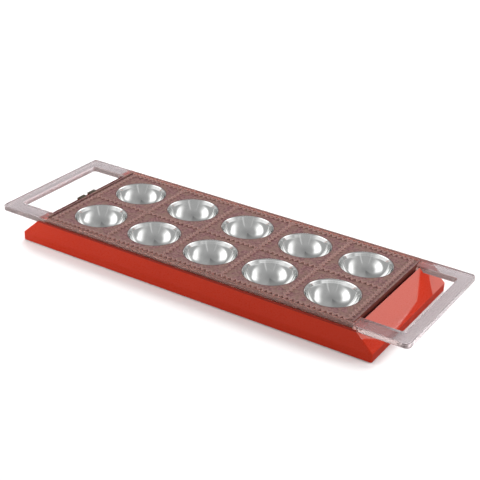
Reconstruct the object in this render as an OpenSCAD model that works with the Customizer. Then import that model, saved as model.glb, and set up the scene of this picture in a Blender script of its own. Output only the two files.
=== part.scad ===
// Ravioli mould: a moulded red base, a cast aluminium plate with ten round cups
// and zigzag cutting ridges, and a clear frame with a handle loop at each end
// that lies round the plate and lifts the cut ravioli out.
// Millimetres, +Z up. The origin is on the table under the middle of the mould,
// +X runs along the row of cups and +Y across it.

/* [Cups and cells] */
// Number of cups along the mould
columns = 5; // [2:1:6]
// Number of cups across the mould
rows = 2; // [1:1:3]
// Distance between cup centres along the mould
cell_length = 50; // [46:0.5:60]
// Distance between cup centres across the mould
cell_width = 50.6; // [46:0.2:60]
// Radius of a cup at its mouth
cup_radius = 19.8; // [14:0.1:20.5]
// Depth of a cup below the face of the plate
cup_depth = 13.5; // [9:0.5:14]
// Width of the polished chamfer at the mouth of a cup
mouth_chamfer = 0.6; // [0.3:0.1:1]
// Wall of a cup
cup_wall = 1.6; // [1.2:0.1:2]

/* [Zigzag ridges] */
// Teeth along one side of a cell
teeth_per_cell = 12; // [8:1:14]
// Swing of the zigzag to each side of its line
tooth_swing = 1.1; // [0.5:0.1:1.3]
// Width of the ridge measured across its line
ridge_width = 1.5; // [1:0.1:1.8]
// Height of the ridge above the face of the plate
ridge_height = 1.2; // [0.6:0.1:1.8]

/* [Plate] */
// Plate beyond the last ridge at each end
plate_end_margin = 5; // [3:0.5:8]
// Plate face beyond the outer ridge at each long side
plate_side_margin = 2.2; // [2.1:0.1:4]
// Width of the raised rim along each end of the plate
end_rim = 1.4; // [0.8:0.1:1.6]
// Thickness of the plate's face and of its upright edge
plate_skin = 2.2; // [1.6:0.1:2.6]
// Step from the face of the plate down to its flange
flange_step = 3.6; // [3.4:0.1:4.5]
// Reach of the flange beyond the face, under the clear frame
flange_reach = 3.2; // [2.5:0.1:3.4]
// Thickness of the flange
flange_thickness = 2; // [1.5:0.1:2.5]
// Width of a lift lug at the left end
lug_width = 8; // [5:0.5:10]
// Reach of a lift lug past the plate
lug_reach = 6; // [4:0.2:7]
// Gap between the two lift lugs
lug_gap = 4.4; // [2:0.2:8]
// Thickness of a lift lug
lug_thickness = 2; // [1.5:0.1:2.4]
// Drop of a lift lug below the face of the plate
lug_drop = 0.6; // [0.2:0.1:1.2]

/* [Clear frame] */
// Thickness of the frame
frame_thickness = 4.3; // [3.5:0.1:5.5]
// Width of the rail beside the plate
rail_width = 3.7; // [3.5:0.1:6]
// Width of a side bar of a handle
side_bar = 12.4; // [9:0.2:16]
// Width of the end bar of a handle
end_bar = 8.8; // [7:0.2:12]
// Length of a handle's opening from the plate to its end bar
grip_opening = 32.2; // [26:0.2:40]
// Radius of the frame's outer corners
frame_corner = 3.5; // [3:0.5:9]
// Radius of the corners of a handle's opening
opening_corner = 2.5; // [1.5:0.5:5]
// Chamfer along the frame's edges
frame_chamfer = 0.5; // [0.3:0.1:0.8]

/* [Base] */
// Height of the base's top face over the table
deck_height = 17.4; // [17:0.2:20]
// Height of the top of the upright lip over the table
lip_height = 7; // [5:0.1:9]
// Top face beyond the plate at each end
deck_end = 7.2; // [6:0.1:9]
// Height of the raised block inside each handle over the top face
end_block_height = 3.6; // [1:0.1:4]
// Groove between the plate and that block
groove = 3.2; // [1.5:0.1:4]
// Height of the rims along the long sides over the top face
side_rim_height = 2.2; // [1:0.1:3]
// Width of the top of those rims
side_rim = 1; // [0.8:0.1:2]
// Spread of each end face from the top face down to the lip
end_spread = 11; // [6:0.1:14]
// Spread of each long side from its rim down to the lip
side_spread = 1.2; // [0.6:0.1:5]
// Radius of the lip's upright corners
lip_corner = 1.2; // [1.2:0.1:4]
// Wall of the base
base_wall = 2.4; // [1.8:0.1:3]
// Thickness of the ribs under the plate
rib = 2; // [1.4:0.1:2.4]
// Rise of the ribs' lower edge over the bottom of the base
rib_rise = 4.8; // [2:0.2:8]

/* [Feet] */
// Diameter of a rubber foot
foot_diameter = 10; // [8:0.5:11]
// Height of a rubber foot
foot_height = 2.6; // [2:0.1:3]
// Height that a foot stands below the base
foot_stand = 0.8; // [0.5:0.1:1.2]

/* [Output] */
// Node to draw, all for the whole mould

/* [Hidden] */
$fn = 64;
clearance = 0.4;      // between pieces that drop into each other
frame_seat = 0.1;     // air under the clear frame, which lies loose on the flange
overlap = 0.01;       // sinks joined shapes into each other
hull_fn = 32;         // facets of the shapes that are blended
edge_radius = 0.4;    // on the base's top edges

// Heights over the table
flange_proud = 0.2;   // the flange's top stands this far over the base's top face
flange_bottom = deck_height + flange_proud - flange_thickness;
flange_top = flange_bottom + flange_thickness;
face_z = flange_top + flange_step;
frame_bottom = flange_top + frame_seat;
frame_top = frame_bottom + frame_thickness;
skin_bottom = face_z - plate_skin;

// Half sizes in plan
grid_x = columns * cell_length / 2;
grid_y = rows * cell_width / 2;
plate_x = grid_x + plate_end_margin;
face_y = grid_y + plate_side_margin;
flange_y = face_y + flange_reach;
frame_x = plate_x + clearance + grip_opening + end_bar;
frame_y = face_y + clearance + rail_width;
deck_x = plate_x + deck_end;
lip_x = deck_x + end_spread;
frame_bay_y = frame_y + clearance;
rim_y = frame_bay_y + side_rim;
lip_y = rim_y + side_spread;
rim_z = deck_height + side_rim_height;
end_lean = end_spread / (deck_height - lip_height);
side_lean = side_spread / (rim_z - lip_height);
block_z = deck_height + max(end_block_height, side_rim_height);
block_y = frame_y - side_bar - clearance;
top_x = lip_x - end_lean * (block_z - lip_height);
top_y = lip_y - side_lean * (block_z - lip_height);

// Bowl of a cup: a ball that cuts the mouth and the full depth
mouth_r = cup_radius - mouth_chamfer;
bowl_depth = cup_depth - mouth_chamfer;
bowl_r = (pow(mouth_r, 2) + pow(bowl_depth, 2)) / (2 * bowl_depth);
bowl_z = face_z - cup_depth + bowl_r;

// Ledge inside the base that carries the plate's flange
ledge_thickness = 2.4;
ledge_x = plate_x - 4;
ledge_y = face_y - plate_skin - 0.6;
cavity_top = flange_bottom - ledge_thickness;

foot_x = lip_x - base_wall - foot_diameter / 2 - 3.2;
foot_y = lip_y - base_wall - foot_diameter / 2 - 2.4;
foot_pad = foot_diameter / 2 + 2.2;
foot_clearance = 0.3;
pad_roof = 1.6;

// A block centred in plan, from height z0 to z1
module block(x, y, z0, z1) {
    translate([-x, -y, z0])
        cube([2 * x, 2 * y, z1 - z0]);
}

// Places its child at each of the four corners
module corners(x, y) {
    for (sx = [-1, 1], sy = [-1, 1])
        translate([sx * x, sy * y, 0])
            children();
}

// Places its child at the middle of every cell
module cells() {
    for (i = [0 : columns - 1], j = [0 : rows - 1])
        translate([(i + 0.5) * cell_length - grid_x, (j + 0.5) * cell_width - grid_y, 0])
            children();
}

// Sign of the swing at step k of a zigzag
function swing(k) = (k % 2 == 0) ? 1 : -1;

// A zigzag ridge along +X that starts at the origin
module zigzag(cell_count, cell_size) {
    steps = cell_count * teeth_per_cell * 2;
    pitch = cell_size / (teeth_per_cell * 2);
    half = ridge_width / 2;
    upper = [for (k = [0 : steps]) [k * pitch, swing(k) * tooth_swing + half]];
    lower = [for (k = [steps : -1 : 0]) [k * pitch, swing(k) * tooth_swing - half]];
    linear_extrude(ridge_height + overlap)
        polygon(concat(upper, lower));
}

// The net of ridges between and round the cells
module ridges() {
    for (j = [0 : rows])
        translate([-grid_x, j * cell_width - grid_y, face_z - overlap])
            zigzag(columns, cell_length);
    for (i = [0 : columns])
        translate([i * cell_length - grid_x, -grid_y, face_z - overlap])
            rotate(90)
                zigzag(rows, cell_width);
}

// A raised rim along each end of the plate, as high as the ridges
module end_rims() {
    difference() {
        block(plate_x, face_y, face_z - overlap, face_z + ridge_height);
        block(plate_x - end_rim, face_y + 1, face_z - 1, face_z + ridge_height + 1);
    }
}

// Outside of a cup under the face of the plate
module cup_outside() {
    intersection() {
        translate([0, 0, bowl_z])
            sphere(bowl_r + cup_wall);
        translate([0, 0, face_z - cup_depth - cup_wall - 1])
            cylinder(r = cup_radius + 2 * cup_wall, h = cup_depth + cup_wall + 1 - plate_skin / 2);
    }
}

// Space inside a cup, with its chamfered mouth
module cup_inside() {
    intersection() {
        translate([0, 0, bowl_z])
            sphere(bowl_r);
        translate([0, 0, face_z - cup_depth - 1])
            cylinder(r = cup_radius + 1, h = cup_depth + 1 - mouth_chamfer + overlap);
    }
    translate([0, 0, face_z - mouth_chamfer])
        cylinder(r1 = mouth_r, r2 = cup_radius, h = mouth_chamfer + overlap);
}

// A lug that sticks out of the left end of the plate
module lift_lug(side) {
    translate([-plate_x - lug_reach, side * (lug_gap + lug_width) / 2 - lug_width / 2,
               face_z - lug_drop - lug_thickness])
        cube([lug_reach + plate_skin, lug_width, lug_thickness]);
}

// Cast aluminium plate: face, upright edge, flange, cups, ridges and lugs in one piece
module plate() {
    color([0.54, 0.41, 0.39])
        difference() {
            union() {
                difference() {
                    union() {
                        block(plate_x, flange_y, flange_bottom, flange_top);
                        block(plate_x, face_y, flange_bottom, face_z);
                    }
                    block(plate_x - plate_skin, face_y - plate_skin, flange_bottom - 1, skin_bottom);
                }
                cells()
                    cup_outside();
                ridges();
                end_rims();
                for (side = [-1, 1])
                    lift_lug(side);
            }
            cells()
                cup_inside();
        }
}

// A slab with round corners and chamfered edges
module soft_slab(x, y, corner, z0, z1) {
    hull()
        corners(x - corner, y - corner) {
            translate([0, 0, z0 + frame_chamfer])
                cylinder(r = corner, h = z1 - z0 - 2 * frame_chamfer, $fn = hull_fn);
            translate([0, 0, z0])
                cylinder(r = corner - frame_chamfer, h = z1 - z0, $fn = hull_fn);
        }
}

// A prism with round upright edges
module round_prism(x, y, corner, z0, z1) {
    block(x - corner, y, z0, z1);
    block(x, y - corner, z0, z1);
    corners(x - corner, y - corner)
        translate([0, 0, z0])
            cylinder(r = corner, h = z1 - z0);
}

// Clear frame: narrow rails beside the plate and a handle loop past each end
module frame() {
    inner_x = frame_x - end_bar;
    inner_y = frame_y - side_bar;
    low = flange_top - 1;
    high = frame_top + 1;
    color([0.86, 0.84, 0.85, 0.45])
        difference() {
            soft_slab(frame_x, frame_y, frame_corner, frame_bottom, frame_top);
            block(plate_x + clearance, face_y + clearance, low, high);
            round_prism(inner_x, inner_y, opening_corner, low, high);
        }
}

// A block with round upright corners whose sides are drawn in from a bend to its top
module drawn_block(x, y, corner, bottom, bend, top_x, top_y, edge, top) {
    hull() {
        translate([0, 0, bottom])
            corners(x - corner, y - corner)
                cylinder(r = corner, h = bend - bottom, $fn = hull_fn);
        translate([0, 0, top - edge])
            corners(top_x - edge, top_y - edge)
                sphere(edge, $fn = hull_fn);
    }
}

// Ribs under the gaps between the cups, and pads in the corners for the feet
module ribs_and_pads() {
    rib_bottom = foot_stand + rib_rise;
    pad_top = foot_height + pad_roof;
    for (i = [1 : columns - 1])
        translate([i * cell_length - grid_x, 0, 0])
            block(rib / 2, lip_y, rib_bottom, flange_bottom);
    for (j = [1 : 1 : rows - 1])
        translate([0, j * cell_width - grid_y, 0])
            block(ledge_x + 1, rib / 2, rib_bottom, flange_bottom);
    difference() {
        block(lip_x, lip_y, foot_stand, pad_top);
        block(foot_x - foot_pad, lip_y + 1, 0, pad_top + 1);
        block(lip_x + 1, foot_y - foot_pad, 0, pad_top + 1);
    }
}

// Outer shape of the base: an upright lip with a block drawn in above it
module outer_body() {
    drawn_block(lip_x, lip_y, lip_corner, foot_stand, lip_height, top_x, top_y, edge_radius, block_z);
}

// Space above the top face, which leaves the rims and the raised end blocks standing
module bay() {
    above = block_z + 1;
    difference() {
        union() {
            block(lip_x + 1, frame_bay_y, deck_height, above);
            block(lip_x + 1, lip_y + 1, rim_z, above);
        }
        for (side = [-1, 1])
            translate([side * (plate_x + groove + lip_x), 0, 0])
                block(lip_x, block_y, deck_height - 1, above + 1);
    }
}

// Notches in the left end block, under the plate's lugs
module lug_notches() {
    floor_z = face_z - lug_drop - lug_thickness - clearance / 2;
    for (side = [-1, 1])
        translate([-plate_x - groove - lip_x / 2, side * (lug_gap + lug_width) / 2, 0])
            block(lip_x / 2 + 1, lug_width / 2 + clearance, floor_z, block_z + 1);
}

// Space inside the base, open at the bottom
module inner_body() {
    bend = lip_height - 1;
    x = lip_x - base_wall;
    y = lip_y - base_wall;
    rise = cavity_top - bend;
    drawn_block(x, y, 1, foot_stand - 1, bend, x - end_lean * rise, y - side_lean * rise, 0.3, cavity_top);
}

// Moulded base: sloped shell with a rim along each long side and a raised block inside each
// handle, a top face with a pocket for the plate's flange, a ledge under it, ribs and foot pads
module base() {
    color([0.78, 0.16, 0.1])
        difference() {
            union() {
                difference() {
                    outer_body();
                    inner_body();
                    block(ledge_x, ledge_y, cavity_top - 1, block_z + 1);
                }
                intersection() {
                    outer_body();
                    ribs_and_pads();
                }
            }
            block(plate_x + clearance, flange_y + clearance, flange_bottom, block_z + 1);
            bay();
            lug_notches();
            corners(foot_x, foot_y)
                cylinder(d = foot_diameter + 2 * foot_clearance, h = foot_height);
        }
}

// A rubber foot at one corner
module foot(side_x, side_y) {
    color([0.12, 0.12, 0.12])
        translate([side_x * foot_x, side_y * foot_y, 0])
            cylinder(d = foot_diameter, h = foot_height);
}

base();
plate();
frame();
foot(-1, -1);  // foot_left_near
foot(-1, 1);  // foot_left_far
foot(1, -1);  // foot_right_near
foot(1, 1);  // foot_right_far
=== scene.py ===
# %% [markdown]
# # A ravioli mould
#
# The object is a tablet for shaping ravioli. A red moulded base carries a cast plate with ten
# polished cups, zigzag ridges on the plate cut the dough between the cups, and a clear frame with
# a handle loop at each end lies round the plate and lifts the dough out. The shapes come from a
# CAD model, so this lesson is mostly about finishes: anodised and polished metal on one casting,
# glossy plastic, clear plastic and rubber, and the light that makes them readable.

# %% Load the model
import math
import bpy
from mathutils import Matrix, Vector


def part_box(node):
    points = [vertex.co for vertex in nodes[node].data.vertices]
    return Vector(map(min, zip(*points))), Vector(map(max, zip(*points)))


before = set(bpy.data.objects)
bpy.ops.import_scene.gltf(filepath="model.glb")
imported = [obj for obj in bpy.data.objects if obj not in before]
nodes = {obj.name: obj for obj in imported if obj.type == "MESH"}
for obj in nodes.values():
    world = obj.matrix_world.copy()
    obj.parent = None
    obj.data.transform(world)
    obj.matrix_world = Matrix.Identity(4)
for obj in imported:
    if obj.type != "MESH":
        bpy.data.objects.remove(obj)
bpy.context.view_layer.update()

MM = 0.001
WHITE = (1.0, 1.0, 1.0, 1.0)
BLACK = (0.0, 0.0, 0.0, 1.0)
bpy.context.scene.view_settings.view_transform = "Standard"
print("nodes:", ", ".join(sorted(nodes)))

# %% [markdown]
# ## Sizes that the finishes need
#
# A finish often has to know where it is: the inside of a cup is polished while the face round it
# is satin. Masks could be painted by hand or stored as vertex colours, but a casting with a regular
# grid of cups is easier to describe with a few sizes, so the masks below are sums on the position
# of each point, and they stay sharp at any distance.

# %% Sizes of the plate
plate_low, plate_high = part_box("plate")
PLATE_END = plate_high.x
RIDGE_HEIGHT = 1.2 * MM
FACE_Z = plate_high.z - RIDGE_HEIGHT
CELL_LENGTH = 50 * MM
CELL_WIDTH = 50.6 * MM
CUP_COLUMNS = 5
CUP_ROWS = 2
CUP_RADIUS = 19.8 * MM
print(f"face of the plate at {FACE_Z / MM:.1f} mm, end of the plate at {PLATE_END / MM:.1f} mm")

# %% [markdown]
# ## Writing a finish as a sum
#
# Blender builds a material from nodes, and a long chain of Math nodes is hard to read. The class
# below wraps one output of a node, so that `1 - mask` or `x * x + y * y` adds the nodes that work
# it out. Colours are mixed by Mix nodes instead, because a Math node would turn them grey.

# %% A socket that can be written in sums
class Value:
    """One output of a node, usable in sums."""

    def __init__(self, finish, socket):
        self.finish = finish
        self.socket = socket

    def __add__(self, other):
        return self.finish.math("ADD", self, other)

    def __sub__(self, other):
        return self.finish.math("SUBTRACT", self, other)

    def __rsub__(self, other):
        return self.finish.math("SUBTRACT", other, self)

    def __mul__(self, other):
        return self.finish.math("MULTIPLY", self, other)

    def __truediv__(self, other):
        return self.finish.math("DIVIDE", self, other)

    def __gt__(self, other):
        return self.finish.math("GREATER_THAN", self, other)

    def __lt__(self, other):
        return self.finish.math("LESS_THAN", self, other)

    __radd__ = __add__
    __rmul__ = __mul__


# %% A finish and its nodes
class Finish:
    """A material, or the world, whose nodes are added by calls."""

    def __init__(self, owner):
        owner.use_nodes = True
        self.owner = owner
        self.tree = owner.node_tree
        self.tree.nodes.clear()

    def node(self, kind, settings=None, values=None, output=0):
        """Adds a node of a kind, sets it up, then fills its inputs with values or links."""
        made = self.tree.nodes.new(kind)
        for name, setting in (settings or {}).items():
            setattr(made, name, setting)
        for name, value in (values or {}).items():
            if isinstance(value, Value):
                self.tree.links.new(value.socket, made.inputs[name])
            else:
                made.inputs[name].default_value = value
        return Value(self, made.outputs[output]) if made.outputs else None

    def math(self, operation, first, second=0.0):
        return self.node("ShaderNodeMath", {"operation": operation}, {0: first, 1: second})

    def larger(self, first, second):
        return self.math("MAXIMUM", first, second)

    def smaller(self, first, second):
        return self.math("MINIMUM", first, second)

    def unsigned(self, value):
        return self.math("ABSOLUTE", value)

    def length(self, first, second):
        """Length of a flat arrow with these two parts."""
        return self.math("SQRT", first * first + second * second)

    def mix_colour(self, mask, off, on):
        settings = {"data_type": "RGBA", "clamp_factor": True}
        return self.node("ShaderNodeMix", settings, {0: mask, 6: off, 7: on}, output=2)

    def split(self, vector):
        """X, Y and Z of a vector."""
        outputs = self.node("ShaderNodeSeparateXYZ", values={0: vector}).socket.node.outputs
        return [Value(self, part) for part in outputs]

    def position(self):
        """The point in the model's own frame, as a vector."""
        return self.node("ShaderNodeTexCoord", output="Object")

    def facing(self):
        """The direction that the surface faces, as a vector."""
        return self.node("ShaderNodeTexCoord", output="Normal")

    def noise(self, place, scale, detail=3.0):
        values = {"Vector": place, "Scale": scale, "Detail": detail}
        return self.node("ShaderNodeTexNoise", values=values)

    def ramp(self, value, start, end):
        """A smooth step from 0 at start to 1 at end, which may be the lower of the two."""
        settings = {"interpolation_type": "SMOOTHSTEP"}
        values = {"Value": value, "From Min": start, "From Max": end}
        return self.node("ShaderNodeMapRange", settings, values)

    def bump(self, height, distance):
        return self.node("ShaderNodeBump", values={"Height": height, "Distance": distance})

    def seen(self):
        """1 for rays that show a thing: to the camera, in a reflection or through clear plastic."""
        rays = ("Is Camera Ray", "Is Glossy Ray", "Is Transmission Ray")
        camera, glossy, clear = (self.node("ShaderNodeLightPath", output=ray) for ray in rays)
        return self.larger(self.larger(camera, glossy), clear)

    def principled(self, values):
        return self.node("ShaderNodeBsdfPrincipled", values=values)

    def done(self, surface):
        """Links the last shader to the output and returns the finished material or world."""
        is_world = isinstance(self.owner, bpy.types.World)
        kind = "ShaderNodeOutputWorld" if is_world else "ShaderNodeOutputMaterial"
        self.node(kind, values={0: surface})
        return self.owner


# %% Making a finish and putting it on
SMOOTH_BELOW = math.radians(28)


def new_finish(name):
    return Finish(bpy.data.materials.new(name))


def colour(red, green, blue):
    """A colour from its screen values, 0 to 255, as the linear numbers that a shader takes."""
    def linear(level):
        part = level / 255
        return part / 12.92 if part <= 0.04045 else ((part + 0.055) / 1.055) ** 2.4
    return (linear(red), linear(green), linear(blue), 1.0)


def dress(node_name, material):
    """Gives a CAD node its finish and smooths its round faces."""
    mesh = nodes[node_name].data
    mesh.materials.clear()
    mesh.materials.append(material)
    mesh.shade_smooth()
    mesh.set_sharp_from_angle(angle=SMOOTH_BELOW)
    print(f"{node_name}: {material.name}")


# %% [markdown]
# ## The camera
#
# The mould is seen from its right front corner, a little over a quarter of the way up. A camera can
# be aimed by hand or fitted: here the mouths of the cups, which are circles of one size on one
# plane, were fitted to their ellipses in the photograph, and that gave these numbers. The picture
# leans slightly, so the camera also has a small roll.

# %% Set up the camera
CAMERA_AZIMUTH = math.radians(31.10)
CAMERA_ELEVATION = math.radians(26.88)
CAMERA_ROLL = math.radians(2.57)
CAMERA_PLACE = Vector((0.3904, -0.6321, 0.3976))
CAMERA_LENS = 84.57
CAMERA_SENSOR = 36

camera_data = bpy.data.cameras.new("camera")
camera_data.lens = CAMERA_LENS
camera_data.sensor_width = CAMERA_SENSOR
camera = bpy.data.objects.new("camera", camera_data)
turned = Matrix.Rotation(CAMERA_AZIMUTH, 4, "Z")
raised = Matrix.Rotation(math.pi / 2 - CAMERA_ELEVATION, 4, "X")
rolled = Matrix.Rotation(CAMERA_ROLL, 4, "Z")
camera.matrix_world = Matrix.Translation(CAMERA_PLACE) @ turned @ raised @ rolled
bpy.context.scene.collection.objects.link(camera)
bpy.context.scene.camera = camera
print("camera at", [round(c, 4) for c in CAMERA_PLACE])

# %% [markdown]
# ## The plate
#
# The plate is one casting with two finishes. Its face is anodised a mauve brown and has a fine
# satin grain, the cups are turned bright, and the ridges are a little lighter. The steep flanks of
# the ridges are painted much lighter still, as painted light that keeps them out of shade. A dark
# ring round the mouth of each cup is painted shade, the end walls get a dark red as painted shade
# tinted by the red base, and the two lugs at the left end are painted nearly black as painted
# shade. One material with masks keeps it one piece, as on the real object, where two materials
# would need the mesh to be cut along the mouth of every cup.

# %% Masks of the plate
TINY = 0.02 * MM
END_RIM = 1.6 * MM
MOUTH_EDGE = 0.7 * MM


class Masks:
    """Where the parts of the plate are: 1 on the part and 0 elsewhere."""

    def __init__(self, finish):
        self.place = finish.position()
        x, y, z = finish.split(self.place)
        across = finish.math("FRACT", x / CELL_LENGTH + CUP_COLUMNS / 2) - 0.5
        along = finish.math("FRACT", y / CELL_WIDTH + CUP_ROWS / 2) - 0.5
        self.radius = finish.length(across * CELL_LENGTH, along * CELL_WIDTH)
        endward, _, upward = finish.split(finish.facing())
        from_end = PLATE_END - finish.unsigned(x)
        past_rim = from_end > END_RIM
        in_cup = (self.radius < CUP_RADIUS + 0.05 * MM) * (z < FACE_Z - TINY)
        self.cup = in_cup * (upward > 0.02)
        self.mouth = (self.radius < CUP_RADIUS + MOUTH_EDGE) * (1 - self.cup)
        self.ridge = finish.ramp(z, FACE_Z + 0.05 * MM, FACE_Z + 0.3 * MM) * past_rim
        self.flank = (upward < 0.5) * (z > FACE_Z + TINY) * past_rim
        self.lug = from_end < -0.1 * MM
        at_end = (finish.unsigned(endward) > 0.7) * (from_end < 0.1 * MM)
        self.end_wall = at_end * (1 - self.lug)


# %% Finish of the plate
MAUVE = colour(147, 109, 108)
MAUVE_DEEP = colour(107, 70, 72)
MAUVE_OLIVE = colour(137, 111, 97)
RIDGE_LIGHT = colour(154, 120, 114)
# Painted light on the steep flanks of the ridges.
FLANK_PAINTED_LIGHT = colour(222, 183, 175)
# Painted shade round the mouths of the cups.
MOUTH_PAINTED_SHADE = colour(92, 64, 62)
# Painted shade, tinted by the red base, on the end walls of the plate.
END_WALL_PAINTED_SHADE = colour(112, 62, 54)
POLISHED = colour(238, 238, 237)
TURNED = colour(227, 228, 227)
# Painted shade on the two lugs at the left end.
LUG_PAINTED_SHADE = colour(70, 62, 48)
BUMP_HEIGHT = 0.02 * MM
TURNING_PITCH = 0.45 * MM
STEEP_FROM = CUP_RADIUS - 1.6 * MM
STEEP_WIDTH = 1.0 * MM
STEEP_SLOPE = 0.21
STEEP_EASING = 0.056 / MM


def plate_finish():
    finish = new_finish("mauve_anodised_plate")
    masks = Masks(finish)
    grain = finish.noise(masks.place, scale=2600.0, detail=2.0)
    blotch = finish.ramp(finish.noise(masks.place, scale=620.0, detail=2.0), 0.36, 0.64)
    cloud = finish.ramp(finish.noise(masks.place, scale=260.0), 0.4, 0.62)
    face = finish.mix_colour(blotch, MAUVE_DEEP, MAUVE)
    face = finish.mix_colour(cloud * 0.6, face, MAUVE_OLIVE)
    face = finish.mix_colour(masks.ridge * (0.4 + grain * 0.4), face, RIDGE_LIGHT)
    # Painted light: the steep flanks of the ridges are lightened so that they don't fall into
    # shade.
    face = finish.mix_colour(masks.flank * 0.85, face, FLANK_PAINTED_LIGHT)
    # Painted shade: a dark ring round the mouth of each cup.
    face = finish.mix_colour(masks.mouth * 0.7, face, MOUTH_PAINTED_SHADE)
    # Painted shade: the end walls of the plate get a dark red, as shade tinted by the red base.
    face = finish.mix_colour(masks.end_wall, face, END_WALL_PAINTED_SHADE)
    # Painted shade: the lugs are painted a dark olive, nearly black.
    face = finish.mix_colour(masks.lug, face, LUG_PAINTED_SHADE)
    turning = finish.math("SINE", masks.radius * (2 * math.pi / TURNING_PITCH)) * 0.5 + 0.5
    cup = finish.mix_colour(turning * 0.4 + cloud * 0.3, TURNED, POLISHED)
    rise = finish.smaller(finish.larger(masks.radius - STEEP_FROM, 0.0), STEEP_WIDTH)
    steeper = rise * (STEEP_SLOPE - rise * STEEP_EASING) / BUMP_HEIGHT
    satin = (grain * 0.6 + blotch * 0.4) * (1 - masks.cup)
    height = satin + (turning * 0.12 + steeper) * masks.cup
    return finish.done(finish.principled({
        "Base Color": finish.mix_colour(masks.cup, face, cup),
        "Metallic": 0.15 + masks.cup * 0.85,
        "Roughness": 0.5 - masks.cup * 0.45 + grain * 0.04,
        "Normal": finish.bump(height, BUMP_HEIGHT),
    }))


dress("plate", plate_finish())

# %% [markdown]
# ## The base
#
# The base is moulded ABS, an even red. What keeps plastic from looking like flat paint is a clear
# reflection with a very slight waviness, so the colour barely varies and most of the work is in a
# soft, wide bump. The two ends are more highly polished than the long sides, which a coat shows,
# and a pale salmon painted sheen lightens their colour a little. A band without the coat bends
# round the lower and the far edge of each, and it is painted a little darker as painted shade. The
# rims and grooves round the plate and the wall of the lip get a deeper red as painted shade, where
# they hold little light.

# %% Masks of the base
BEND_LINES = ((151.5 * MM, -0.395), (146.0 * MM, -0.075), (162.5 * MM, 0.4))
FAR_SIDE = 50.5 * MM
FAR_SIDE_REACH = 137 * MM
FAR_SIDE_SLANT = 1.2


class EndMasks:
    """Where the faces at the two ends of the base are: 1 on the face and 0 elsewhere."""

    def __init__(self, finish, x, y):
        endward, _, upward = finish.split(finish.facing())
        reach = finish.unsigned(x)
        outward = endward * finish.math("SIGN", x)
        past_plate = reach > PLATE_END + 1.0 * MM
        sloping = (outward > 0.4) * (upward > 0.3) * past_plate
        self.groove_wall = (outward < -0.5) * past_plate
        self.lip_wall = (outward > 0.9) * past_plate
        far, middle, near = (y * slope + start for start, slope in BEND_LINES)
        bend = finish.smaller(finish.smaller(far, middle), near)
        far_side = FAR_SIDE - (reach - FAR_SIDE_REACH) * FAR_SIDE_SLANT
        past_bend = finish.ramp(reach - bend, -0.4 * MM, 0.4 * MM)
        band = past_bend * finish.ramp(far_side - y, -0.3 * MM, 0.3 * MM)
        # The band gets no coat and is painted a little darker, as painted shade.
        self.dull_shaded = sloping * band
        self.polished = sloping * (1 - band)


# %% Finish of the base
RED = colour(206, 55, 27)
RED_DEEP = colour(198, 48, 22)
# Painted shade for the rims, the grooves, the wall of the lip and the band without coat.
RED_PAINTED_SHADE = colour(112, 30, 22)
# Painted sheen for the polished ends.
RED_PAINTED_SHEEN = colour(232, 132, 98)
SIDE_RIM = 56 * MM
SIDE_RIM_FROM = 18.4 * MM
SIDE_RIM_TO = 19.2 * MM


def base_finish():
    finish = new_finish("red_gloss_plastic")
    place = finish.position()
    x, y, z = finish.split(place)
    cloud = finish.noise(place, scale=14.0, detail=2.0)
    waves = finish.noise(place, scale=60.0, detail=2.0)
    speck = finish.noise(place, scale=1500.0)
    ends = EndMasks(finish, x, y)
    red = finish.mix_colour(cloud, RED_DEEP, RED)
    # Painted sheen: a little pale salmon on the polished ends.
    red = finish.mix_colour(ends.polished * 0.15, red, RED_PAINTED_SHEEN)
    side_rim = finish.ramp(z, SIDE_RIM_FROM, SIDE_RIM_TO) * (finish.unsigned(y) > SIDE_RIM)
    edges = finish.larger(side_rim, finish.larger(ends.groove_wall, ends.lip_wall * 0.65))
    return finish.done(finish.principled({
        # Painted shade: rims, grooves and the lip wall are darkened to a deep red, the band a
        # little.
        "Base Color": finish.mix_colour(edges * 0.8 + ends.dull_shaded * 0.15, red, RED_PAINTED_SHADE),
        "Roughness": 0.24 + speck * 0.08 + ends.lip_wall * 0.4,
        "Specular IOR Level": 0.16,
        "Coat Weight": ends.polished,
        "Coat Roughness": 0.1,
        "Coat IOR": 2.8,
        "Normal": finish.bump(waves + speck * 0.05, 0.04 * MM),
    }))


dress("base", base_finish())

# %% [markdown]
# ## The clear frame
#
# The frame is clear plastic, a few millimetres thick, with a grey tinge. A thin, see-through
# surface would lose the lines along its edges, so the material bends light as the solid does, with
# the slight ripple that moulding leaves. Such a solid would cast a full shadow, so rays towards a
# lamp pass straight through it instead. The edges of the handles are duller than the flat faces.
# The handles look grey, their end walls are painted lighter as painted light, and the rails are
# tinted the mauve of the plate beside them, a painted reflection of the plate seen through them.

# %% Finish of the frame
LET_THROUGH = colour(248, 246, 246)
# Painted reflection: the rails are tinted the mauve of the plate that shows through them.
RAIL_WALL_PAINTED_MAUVE = colour(192, 138, 124)
RAIL_FACE_PAINTED_MAUVE = colour(211, 169, 159)
# Painted light: the end walls of the handles are lighter than the other walls.
HANDLE_END_WALL_PAINTED_LIGHT = colour(214, 203, 205)
HANDLE_SIDE = colour(172, 153, 151)
HANDLE_FACE = colour(178, 169, 171)
HANDLE_FROM = PLATE_END - 4 * MM
HANDLE_TO = PLATE_END + 8 * MM


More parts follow.
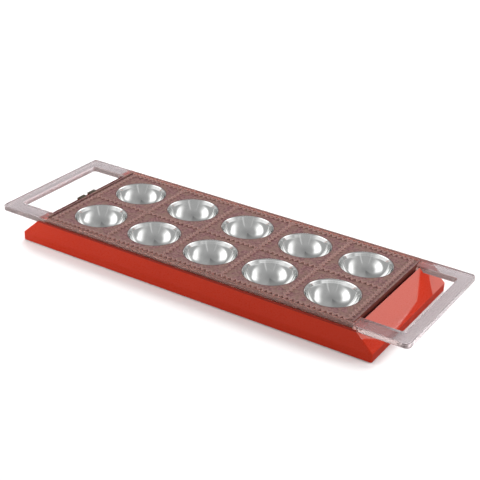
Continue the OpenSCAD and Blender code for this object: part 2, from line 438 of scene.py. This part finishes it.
def frame_finish():
    finish = new_finish("clear_polycarbonate")
    place = finish.position()
    x, _, _ = finish.split(place)
    ripple = finish.noise(place, scale=35.0, detail=1.0)
    rub = finish.noise(place, scale=400.0)
    _, sideward, upward = finish.split(finish.facing())
    sideways = finish.ramp(finish.unsigned(sideward), 0.6, 0.9)
    flat = finish.unsigned(upward) > 0.9
    handle = finish.ramp(finish.unsigned(x), HANDLE_FROM, HANDLE_TO)
    # Painted reflection: the rails take the mauve of the plate seen through them.
    face = finish.mix_colour(handle, RAIL_FACE_PAINTED_MAUVE, HANDLE_FACE)
    # Painted light: walls of the handles that face the ends are lighter than those facing sideways.
    handle_wall = finish.mix_colour(sideways, HANDLE_END_WALL_PAINTED_LIGHT, HANDLE_SIDE)
    wall = finish.mix_colour(handle, RAIL_WALL_PAINTED_MAUVE, handle_wall)
    clear = finish.principled({
        "Base Color": finish.mix_colour(flat, wall, face),
        "Roughness": 0.07 + rub * 0.04 + (1 - flat) * handle * 0.17,
        "IOR": 1.5,
        "Transmission Weight": 0.88,
        "Normal": finish.bump(ripple, 0.05 * MM),
    })
    lamp_ray = finish.node("ShaderNodeLightPath", output="Is Shadow Ray")
    let_through = finish.node("ShaderNodeBsdfTransparent", values={"Color": LET_THROUGH})
    mixed = finish.node("ShaderNodeMixShader", values={0: lamp_ray, 1: clear, 2: let_through})
    return finish.done(mixed)


dress("frame", frame_finish())

# %% [markdown]
# ## The feet
#
# Four rubber feet stand under the corners. Rubber is dark, dull and a little dusty, so its grain
# goes into colour and roughness alike.

# %% Finish of the feet
RUBBER = colour(24, 24, 25)
DUSTY_RUBBER = colour(48, 47, 46)


def foot_finish():
    finish = new_finish("black_rubber")
    dust = finish.noise(finish.position(), scale=700.0, detail=4.0)
    return finish.done(finish.principled({
        "Base Color": finish.mix_colour(dust, RUBBER, DUSTY_RUBBER),
        "Roughness": 0.7 + dust * 0.2,
        "Normal": finish.bump(dust, 0.05 * MM),
    }))


rubber = foot_finish()
for name in sorted(nodes):
    if name.startswith("foot_"):
        dress(name, rubber)

# %% [markdown]
# ## The floor
#
# The mould stands on a white floor that runs into a white background. So bright a floor would throw
# much light up on the red sides, so it is white only for the camera, reflections and clear plastic,
# which a Light Path node tells apart, and grey for the light that it passes on. It glows a little
# near the mould, and far away, where the lamps don't reach, enough to stay white. The shadow stays.

# %% Floor
FLOOR_GREY = colour(176, 176, 176)
FLOOR_WHITE = colour(247, 247, 247)
FLOOR_GLOW = 0.6
GLOW_NEAR = (0.13, 0.13, 0.13, 1.0)
GLOW_RISES_FROM = 0.5
GLOW_RISES_TO = 1.5
FLOOR_RADIUS = 15


def floor_finish():
    finish = new_finish("white_floor")
    seen = finish.seen()
    x, y, _ = finish.split(finish.position())
    far = finish.ramp(finish.length(x, y), GLOW_RISES_FROM, GLOW_RISES_TO)
    glow = finish.mix_colour(far, GLOW_NEAR, WHITE)
    return finish.done(finish.principled({
        "Base Color": finish.mix_colour(seen, FLOOR_GREY, FLOOR_WHITE),
        "Roughness": 1.0,
        "Specular IOR Level": 0.0,
        "Emission Color": finish.mix_colour(seen, BLACK, glow),
        "Emission Strength": FLOOR_GLOW,
    }))


bpy.ops.mesh.primitive_circle_add(
    vertices=96, radius=FLOOR_RADIUS, fill_type="NGON", location=(0, 0, 0))
floor = bpy.context.object
floor.name = "floor"
floor.data.materials.append(floor_finish())
print("floor:", floor.data.materials[0].name)

# %% [markdown]
# ## The light
#
# Polished cups show the whole studio in small, so the studio matters more than the number of lamps.
# Here it is painted on the sky: a white sweep along the horizon, two broad soft windows of light on
# opposite sides, a few narrow strips and grey in between. Area lamps could do the same, but their
# edges are hard, and the soft upper edges of these windows are what the cups show.

# %% Directions in the sky
class Studio(Finish):
    """The world's nodes, with sky directions in degrees."""

    def __init__(self, world):
        super().__init__(world)
        self.x, self.y, z = self.split(self.node("ShaderNodeTexCoord", output="Generated"))
        self.height = self.math("ARCSINE", z) * math.degrees(1)

    def turned_from(self, azimuth):
        """Angle round the vertical, counted from an azimuth."""
        cosine = math.cos(math.radians(azimuth))
        sine = math.sin(math.radians(azimuth))
        ahead = self.x * cosine + self.y * sine
        aside = self.y * cosine - self.x * sine
        return self.math("ARCTAN2", aside, ahead) * math.degrees(1)

    def between(self, angle, rise_from, rise_to, fall_from, fall_to):
        """1 between two soft edges and 0 beyond them."""
        return self.ramp(angle, rise_from, rise_to) * self.ramp(angle, fall_to, fall_from)

    def streak(self, azimuth, tilt, height_there, half_height):
        """A soft streak of light that passes an azimuth at a height and slants."""
        off = self.height - (self.turned_from(azimuth) * tilt + height_there)
        return self.ramp(self.unsigned(off), half_height, 0.0)


# %% Windows and strips of light
SKY = 0.43
SKY_TOP = 0.31
SKY_BACK_DIP = 0.13
SKY_FRONT_DIP = 0.3
HORIZON = 0.95
WINDOW_LIGHT = 1.3
STREAK_LIGHT = 0.6
STRIPS = ((-36, 6.0, 0.24), (-84, 4.0, 0.1))
LEFT_WINDOW = -162
RIGHT_WINDOW = 50
LEFT_STREAK = -132
RIGHT_STREAK = 12
BACK = 140
FRONT = -65


def left_window(sky):
    turn = sky.turned_from(LEFT_WINDOW)
    return sky.between(turn, -42, -8, 15, 78) * sky.between(sky.height, 25, 35, 49, 69)


def right_window(sky):
    turn = sky.turned_from(RIGHT_WINDOW)
    lowered = sky.height + sky.larger(turn - 5, 0.0) * 0.35
    return sky.between(turn, -85, -5, 16, 40) * sky.between(lowered, 22, 34, 36, 64)


def low_streaks(sky):
    left_ends = sky.between(sky.turned_from(LEFT_STREAK), -40, -20, 10, 45)
    right_ends = sky.between(sky.turned_from(RIGHT_STREAK), -40, 10, 30, 50)
    left = sky.streak(LEFT_STREAK, 0.36, 13, 12) * left_ends
    right = sky.streak(RIGHT_STREAK, -0.45, 13.6, 12) * right_ends
    return left + right


def strips(sky):
    light = 0.0
    for azimuth, half_width, strength in STRIPS:
        turn = sky.turned_from(azimuth)
        light = sky.between(turn, -half_width, -1, 1, half_width) * strength + light
    return light * sky.between(sky.height, 8, 20, 50, 66)


def studio_world():
    sky = Studio(bpy.data.worlds.new("studio"))
    light = sky.ramp(sky.height, 90, 55) * (SKY - SKY_TOP) + SKY_TOP
    light = light - sky.between(sky.turned_from(BACK), -40, -10, 10, 35) * SKY_BACK_DIP
    front = sky.between(sky.turned_from(FRONT), -70, -50, 45, 60)
    light = light + sky.ramp(sky.height, 7, 1) * (1 - front) * (HORIZON - SKY)
    light = light - front * sky.ramp(sky.height, 16, 8) * SKY_FRONT_DIP
    sweep = sky.larger(front * sky.ramp(sky.height, 19, 13), sky.ramp(sky.height, 5, 2))
    camera_ray = sky.node("ShaderNodeLightPath", output="Is Camera Ray")
    backdrop = sky.larger(sky.seen() * sweep, camera_ray)
    for panes in (left_window(sky), right_window(sky)):
        light = light + panes * panes * WINDOW_LIGHT
    light = light + low_streaks(sky) * STREAK_LIGHT + strips(sky)
    light = light * (1 - backdrop) + backdrop
    return sky.done(sky.node("ShaderNodeBackground", values={"Color": WHITE, "Strength": light}))


bpy.context.scene.world = studio_world()
print(f"two windows of strength {WINDOW_LIGHT} in a sky of {SKY}")

# %% [markdown]
# ## Three soft lamps
#
# The sky alone would leave the mould without a shadow on the near side. A large lamp high at the
# back gives that shadow and lights the plate, one close by on the left makes the long red side
# brighter towards that end, and one on the right lights the sloping end. They are kept out of
# reflections, as the metal already shows the windows.

# %% Lamps
LAMP_POWER = 4


def softbox(name, place, size, brightness):
    """A rectangular lamp that faces the middle of the mould."""
    lamp = bpy.data.lights.new(name, "AREA")
    lamp.shape = "RECTANGLE"
    lamp.size, lamp.size_y = size
    lamp.energy = LAMP_POWER * size[0] * size[1] * brightness
    box = bpy.data.objects.new(name, lamp)
    box.location = place
    box.rotation_euler = Vector(place).to_track_quat("Z", "Y").to_euler()
    box.visible_camera = False
    box.visible_glossy = False
    bpy.context.scene.collection.objects.link(box)
    print(f"{name}: {lamp.energy:.2f} W, {size[0]} by {size[1]} m")


softbox("back", (-0.30, 0.56, 0.80), (0.7, 0.5), 4.8)
softbox("near_left", (-0.34, -0.26, 0.12), (0.4, 0.25), 1.9)
softbox("near_right", (0.52, 0.10, 0.22), (0.3, 0.2), 4.9)
